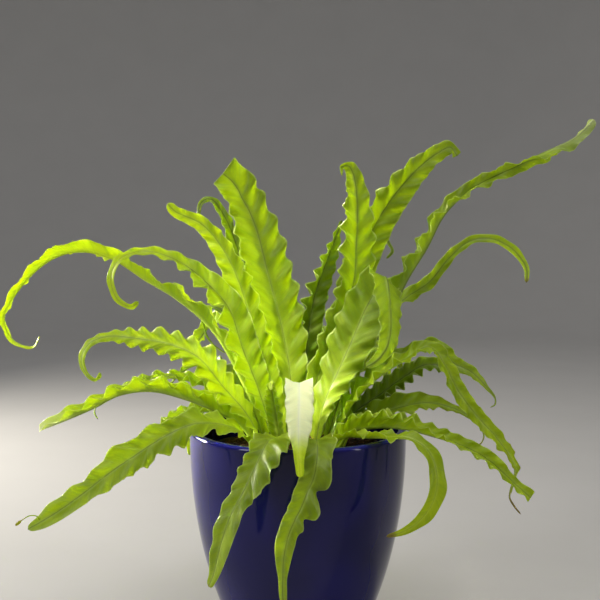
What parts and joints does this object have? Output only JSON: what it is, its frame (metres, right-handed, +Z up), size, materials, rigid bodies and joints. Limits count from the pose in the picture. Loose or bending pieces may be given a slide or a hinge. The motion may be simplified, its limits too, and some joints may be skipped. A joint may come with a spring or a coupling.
{
  "type": "potted fern",
  "caption": "Potted bird's-nest fern: ruffled, strap-shaped fronds arch and curl from a short crown set in potting mix, in a plain glazed pot that tapers to its foot.",
  "frame": {"origin": "centre of the pot's flat underside", "axes": "+Z up, -Y towards the side that the plant shows, +X to the viewer's right"},
  "size_m": [0.4873, 0.3086, 0.4199],
  "materials": {
    "glazed_pot": "gloss cobalt glaze",
    "potting_mix": "loose and matte",
    "crown": "fibrous and matte",
    "frond_young": "satin",
    "frond_full": "satin",
    "frond_shaded": "satin"
  },
  "bodies": {
    "root": {"pot": "glazed_pot", "potting_mix": "potting_mix", "crown": "crown", "frond_left_long_arch": "frond_young", "frond_left_hook": "frond_full", "frond_left_upright": "frond_young", "frond_left_dark_hook": "frond_shaded", "frond_tall_broad": "frond_full", "frond_left_ruffled_curl": "frond_young", "frond_left_low_point": "frond_young", "frond_left_low_thin": "frond_full", "frond_left_near_broad": "frond_full", "frond_front_left_hanging": "frond_full", "frond_front_hanging": "frond_full", "frond_centre_young": "frond_young", "frond_centre_edge_on": "frond_young", "frond_left_hidden_tip": "frond_shaded", "frond_right_upright_curl": "frond_full", "frond_right_back_hooked": "frond_full", "frond_right_dark_pointed": "frond_shaded", "frond_right_folded_over": "frond_full", "frond_right_longest": "frond_full", "frond_right_arch": "frond_full", "frond_right_hidden_tip": "frond_shaded", "frond_right_twisted_drop": "frond_young", "frond_right_hooked_arch": "frond_full", "frond_right_dull_ribbon": "frond_shaded", "frond_right_low_curl": "frond_full", "frond_right_near_low": "frond_young", "frond_right_near_hanging": "frond_young", "frond_back_right_low": "frond_full", "frond_back_low": "frond_young", "frond_back_centre_low": "frond_full", "frond_back_left_low": "frond_young", "frond_back_far_left_low": "frond_full", "frond_back_right_arch": "frond_full", "frond_back_long_arch": "frond_full", "frond_back_arch": "frond_young", "frond_back_left_arch": "frond_full", "frond_back_far_left_arch": "frond_shaded", "frond_back_upright": "frond_full", "frond_back_tall": "frond_full"}
  },
  "joints": []
}
